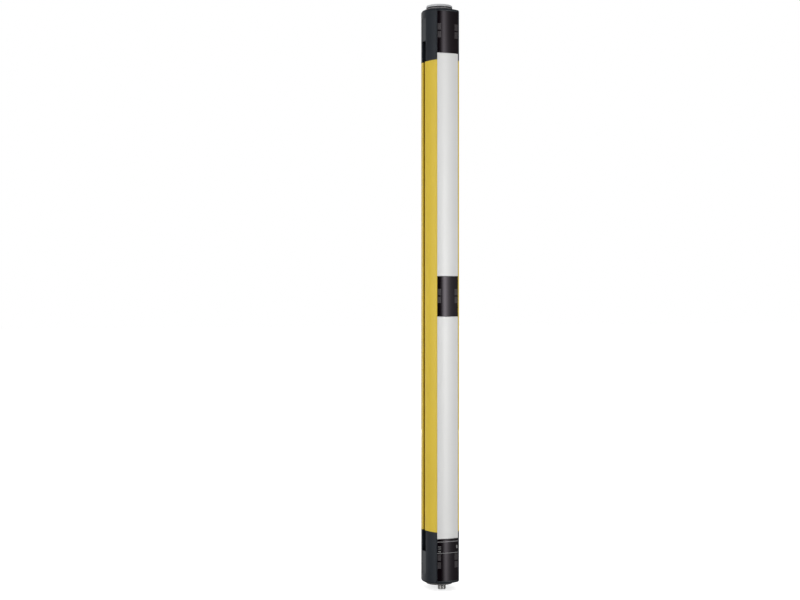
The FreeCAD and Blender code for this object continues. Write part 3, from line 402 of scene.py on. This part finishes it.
# marks of the optics: two blocks of fine lines at each edge of every window
half_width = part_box("middle_window")[1][0]
for beam in ("lower", "middle", "upper"):
    line = front_line(beam + "_window")
    low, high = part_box(beam + "_lens")
    centre = (low[2] + high[2]) / 2
    bm = bmesh.new()
    for left, right in ((-half_width + LEFT_MARKS[0], -half_width + LEFT_MARKS[1]),
                        (half_width - RIGHT_MARKS[0], half_width - RIGHT_MARKS[1])):
        for block in (BLOCK_OFFSET, -BLOCK_OFFSET):
            for row in range(MARK_ROWS):
                z = centre + block + (row - (MARK_ROWS - 1) / 2) * MARK_PITCH
                decal(bm, line, left, right, z - MARK_HALF, z + MARK_HALF)
    piece(beam + "_optics_marks", bm, print_ink)

line = front_line("indicator_window")
sign_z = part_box("indicator_window")[0][2]
left = -half_width + SIGN_LEFT
bm = bmesh.new()
for bottom, top in DASH_HEIGHTS:
    decal(bm, line, left + DASH_SPAN[0], left + DASH_SPAN[1], sign_z + bottom, sign_z + top)
corners = [(left + x, sign_z + z) for x, z in ZIGZAG]
for start, end in zip(corners, corners[1:]):
    stroke(bm, line, start, end, ZIGZAG_WIDTH)
piece("display_signs", bm, pale_ink)

right = half_width - STATUS_RIGHT
bm = bmesh.new()
for inset, bottom, top in STATUS_STEPS:
    decal(bm, line, right + inset, right + STATUS_WIDTH - inset, sign_z + bottom, sign_z + top, 2)
piece("status_sign", bm, pale_ink)


# --- Threaded shell of the connector -----------------------------------------
THREAD_PITCH = 0.001
CREST = 0.006                   # radius, as the root's is
ROOT = 0.00545
THREAD_FLAT = 0.25              # part of the pitch that the flat of the crest takes, and the root's
RUN_OUT = 0.7                   # turns over which the thread fades at its ends
THREAD_INSET = 0.0006           # from the tip and from the boss's face
THREAD_STEPS = 49
TURN_STEPS = 72
CHAMFER = 0.0005
UNDERCUT = 0.00002              # plain parts stay this far inside the crests
COLLAR = 0.0066                 # radius of the plain neck over the thread
FLANGE_THICKNESS = 0.002
KEY_WIDTH = 0.0012
KEY_DEPTH = 0.001
KEY_INSET = 0.0003              # from the cup's wall to the middle of the key

shell_low, shell_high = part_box("connector_body")
insert_low, insert_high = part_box("connector_insert")
axis = ((insert_low[0] + insert_high[0]) / 2, (insert_low[1] + insert_high[1]) / 2)
cup = (insert_high[0] - insert_low[0]) / 2
flange = (shell_high[0] - shell_low[0]) / 2
tip = shell_low[2]
flange_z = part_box("connector_seal")[1][2]
thread_low, thread_high = tip + THREAD_INSET, boss_low - THREAD_INSET


def thread_radius(r, z, turn):
    """Radius of a point of the profile after its part of a turn."""
    if r != CREST:
        return r
    phase = ((z - tip) / THREAD_PITCH - turn / (2 * math.pi)) % 1.0
    tooth = 1 - abs(2 * phase - 1)
    run_out = THREAD_PITCH * RUN_OUT
    fade = min(1.0, (z - thread_low) / run_out, (thread_high - z) / run_out)
    cut = (tooth - THREAD_FLAT) / (1 - 2 * THREAD_FLAT)
    depth = (CREST - ROOT) * max(0.0, min(1.0, cut)) * max(0.0, fade)
    return CREST - depth


def lathe(bm, profile, centre, steps, radius_at):
    """Turned closed section about a vertical axis."""
    rings = []
    for i in range(steps):
        turn = 2 * math.pi * i / steps
        ring = []
        for r, z in profile:
            r = radius_at(r, z, turn)
            ring.append(bm.verts.new((centre[0] + r * math.cos(turn), centre[1] + r * math.sin(turn), z)))
        rings.append(ring)
    count = len(profile)
    for i in range(steps):
        first, second = rings[i], rings[(i + 1) % steps]
        for j in range(count):
            k = (j + 1) % count
            bm.faces.new((first[j], second[j], second[k], first[k]))


profile = [(cup, tip), (CREST - CHAMFER, tip), (CREST - UNDERCUT, tip + CHAMFER)]
profile += [(CREST, z) for z in np.linspace(thread_low, thread_high, THREAD_STEPS)]
profile += [(CREST - UNDERCUT, boss_low - CHAMFER), (COLLAR, boss_low - CHAMFER), (COLLAR, flange_z),
            (flange, flange_z), (flange, flange_z + FLANGE_THICKNESS),
            (CREST - UNDERCUT, flange_z + FLANGE_THICKNESS), (CREST - UNDERCUT, shell_high[2]),
            (cup, shell_high[2])]
bm = bmesh.new()
lathe(bm, profile, axis, TURN_STEPS, thread_radius)
key_y = axis[1] - cup + KEY_INSET
key_low, key_high = tip + CHAMFER, insert_low[2]
for vertex in bmesh.ops.create_cube(bm, size=1.0)["verts"]:
    vertex.co = Vector((vertex.co.x * KEY_WIDTH, key_y + vertex.co.y * KEY_DEPTH,
                        (key_low + key_high) / 2 + vertex.co.z * (key_high - key_low)))
shell = piece("threaded_shell", bm, by_slot["nickel"])
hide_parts("connector_body")


# --- Floor and background ----------------------------------------------------
WORLD_LIGHT = 0.45
FLOOR_SIZE = 20.0
FLOOR_COLOUR = 0.82
FLOOR_GLOW = 0.66               # for direct rays only, so that the floor shows white
FLOOR_GAP = 0.0001


def stage_mesh(name, bm, material):
    mesh = bpy.data.meshes.new(name)
    bm.to_mesh(mesh)
    bm.free()
    mesh.materials.append(material)
    made = bpy.data.objects.new(name, mesh)
    scene.collection.objects.link(made)
    return made


def by_ray(tree, indirect, direct):
    """One value for light that falls on things, and another for camera, glossy and transmission rays."""
    path = tree.nodes.new("ShaderNodeLightPath")
    seen = math_node(tree, "MAXIMUM", path.outputs["Is Camera Ray"], path.outputs["Is Glossy Ray"])
    seen = math_node(tree, "MAXIMUM", seen, path.outputs["Is Transmission Ray"])
    node = tree.nodes.new("ShaderNodeMapRange")
    node.inputs["To Min"].default_value = indirect
    node.inputs["To Max"].default_value = direct
    tree.links.new(seen, node.inputs["Value"])
    return node.outputs["Result"]


world = bpy.data.worlds.new("studio")
scene.world = world
world.use_nodes = True
background = world.node_tree.nodes["Background"]
background.inputs["Color"].default_value = (1, 1, 1, 1)
world.node_tree.links.new(by_ray(world.node_tree, WORLD_LIGHT, 1.0), background.inputs["Strength"])

floor_material, tree, shader = new_material("pale_floor")
tree.nodes.remove(shader)
diffuse = tree.nodes.new("ShaderNodeBsdfDiffuse")
diffuse.inputs["Color"].default_value = grey(FLOOR_COLOUR) + (1,)
glow = tree.nodes.new("ShaderNodeEmission")
tree.links.new(by_ray(tree, 0.0, FLOOR_GLOW), glow.inputs["Strength"])
both = tree.nodes.new("ShaderNodeAddShader")
tree.links.new(diffuse.outputs["BSDF"], both.inputs[0])
tree.links.new(glow.outputs["Emission"], both.inputs[1])
tree.links.new(both.outputs["Shader"], tree.nodes["Material Output"].inputs["Surface"])
bm = bmesh.new()
bmesh.ops.create_grid(bm, x_segments=1, y_segments=1, size=FLOOR_SIZE)
floor = stage_mesh("floor", bm, floor_material)
floor.location.z = cad_box[0][2] - FLOOR_GAP
floor.visible_glossy = False


# --- Panels that only reflections show ---------------------------------------
PANEL_RADIUS = 1.6
PANEL_LEAN = 4.0                # degrees to the left for each metre of height
PANEL_BASE = -0.5
PANEL_TOP = 1.4
PANEL_ROWS = 9
PANEL_MIDDLE = 0.43             # height at which the panels don't lean and are brightest
PANEL_PEAK = 1.25               # brightness there, which falls by 1 for each metre up or down
CARD_SEGMENTS = 64
CARD_OVERLAP = 0.05

# name, steps round the set, and brightness by azimuth in degrees
PANELS = (
    ("softbox", 65, ((-8, 0.0), (3, 0.0), (6.5, 0.4), (9, 2.2), (12, 5.4), (14.5, 7.7), (17, 7.0), (20, 4.9),
                     (23, 3.3), (26, 2.1), (31, 1.2), (38, 0.8), (48, 0.6), (56, 0.5))),
    ("front_card", 47, ((-54, 3.0), (-48, 1.6), (-42, 0.1), (-8, 0.0))),
    ("side_card", 129, ((-182, 0.9), (-172, 1.25), (-160, 1.2), (-150, 1.35), (-146, 0.4), (-140, 0.05),
                        (-126, 0.04), (-116, 0.6), (-104, 1.2), (-90, 1.2), (-78, 1.4), (-70, 3.0),
                        (-54, 3.0))),
    ("right_card", 123, ((56, 0.5), (80, 0.4), (104, 0.3), (112, 0.12), (178, 0.12))),
)
FLAT_CARDS = (("floor_card", PANEL_BASE, 0.14), ("ceiling_card", PANEL_TOP, 0.12))

panel_material, tree, shader = new_material("softbox")
tree.nodes.remove(shader)
glow = tree.nodes.new("ShaderNodeEmission")
attribute = tree.nodes.new("ShaderNodeAttribute")
attribute.attribute_name = "brightness"
tree.links.new(attribute.outputs["Fac"], glow.inputs["Strength"])
tree.links.new(glow.outputs["Emission"], tree.nodes["Material Output"].inputs["Surface"])


def add_panel(name, bm, brightness):
    panel = stage_mesh(name, bm, panel_material)
    levels = panel.data.attributes.new("brightness", "FLOAT", "POINT")
    levels.data.foreach_set("value", brightness)
    panel.visible_camera = False
    panel.visible_shadow = False
    panel.visible_diffuse = False


def curved_panel(name, steps, profile):
    """Part of a cylinder round the set."""
    angles, levels = zip(*profile)
    columns = []
    brightness = []
    bm = bmesh.new()
    for angle in np.linspace(angles[0], angles[-1], steps):
        level = np.interp(angle, angles, levels)
        column = []
        for z in np.linspace(PANEL_BASE, PANEL_TOP, PANEL_ROWS):
            turn = math.radians(angle - PANEL_LEAN * (z - PANEL_MIDDLE))
            brightness.append(float(level * (PANEL_PEAK - abs(z - PANEL_MIDDLE))))
            column.append(bm.verts.new((PANEL_RADIUS * math.sin(turn), -PANEL_RADIUS * math.cos(turn), z)))
        columns.append(column)
    for first, second in zip(columns, columns[1:]):
        for i in range(PANEL_ROWS - 1):
            bm.faces.new((first[i], second[i], second[i + 1], first[i + 1]))
    add_panel(name, bm, brightness)


def flat_card(name, z, level):
    """Round card under or over the set."""
    bm = bmesh.new()
    bmesh.ops.create_circle(bm, cap_ends=True, segments=CARD_SEGMENTS, radius=PANEL_RADIUS + CARD_OVERLAP)
    for vertex in bm.verts:
        vertex.co.z = z
    add_panel(name, bm, [level] * CARD_SEGMENTS)


for panel in PANELS:
    curved_panel(*panel)
for card in FLAT_CARDS:
    flat_card(*card)


# --- Lamps -------------------------------------------------------------------
LAMP_TARGET = Vector((0, 0, 0.44))
# name, azimuth and elevation in degrees, distance, size, watts
LAMPS = (
    ("key", -20, 8, 2.6, (1.2, 1.8), 26.0),
    ("left_fill", -100, 5, 2.0, (1.2, 1.8), 12.5),
    ("top_fill", -20, 80, 2.2, (1.6, 1.6), 14.0),
    ("back_fill", 155, 8, 2.6, (1.2, 1.8), 15.0),
)
for name, azimuth, elevation, distance, size, power in LAMPS:
    light = bpy.data.lights.new(name, "AREA")
    light.shape = "RECTANGLE"
    light.size, light.size_y = size
    light.energy = power
    lamp = bpy.data.objects.new(name, light)
    a, e = math.radians(azimuth), math.radians(elevation)
    away = distance * Vector((math.sin(a) * math.cos(e), -math.cos(a) * math.cos(e), math.sin(e)))
    lamp.location = LAMP_TARGET + away
    lamp.rotation_euler = (LAMP_TARGET - lamp.location).to_track_quat("-Z", "Y").to_euler()
    scene.collection.objects.link(lamp)
    lamp.visible_glossy = False
    lamp.visible_camera = False
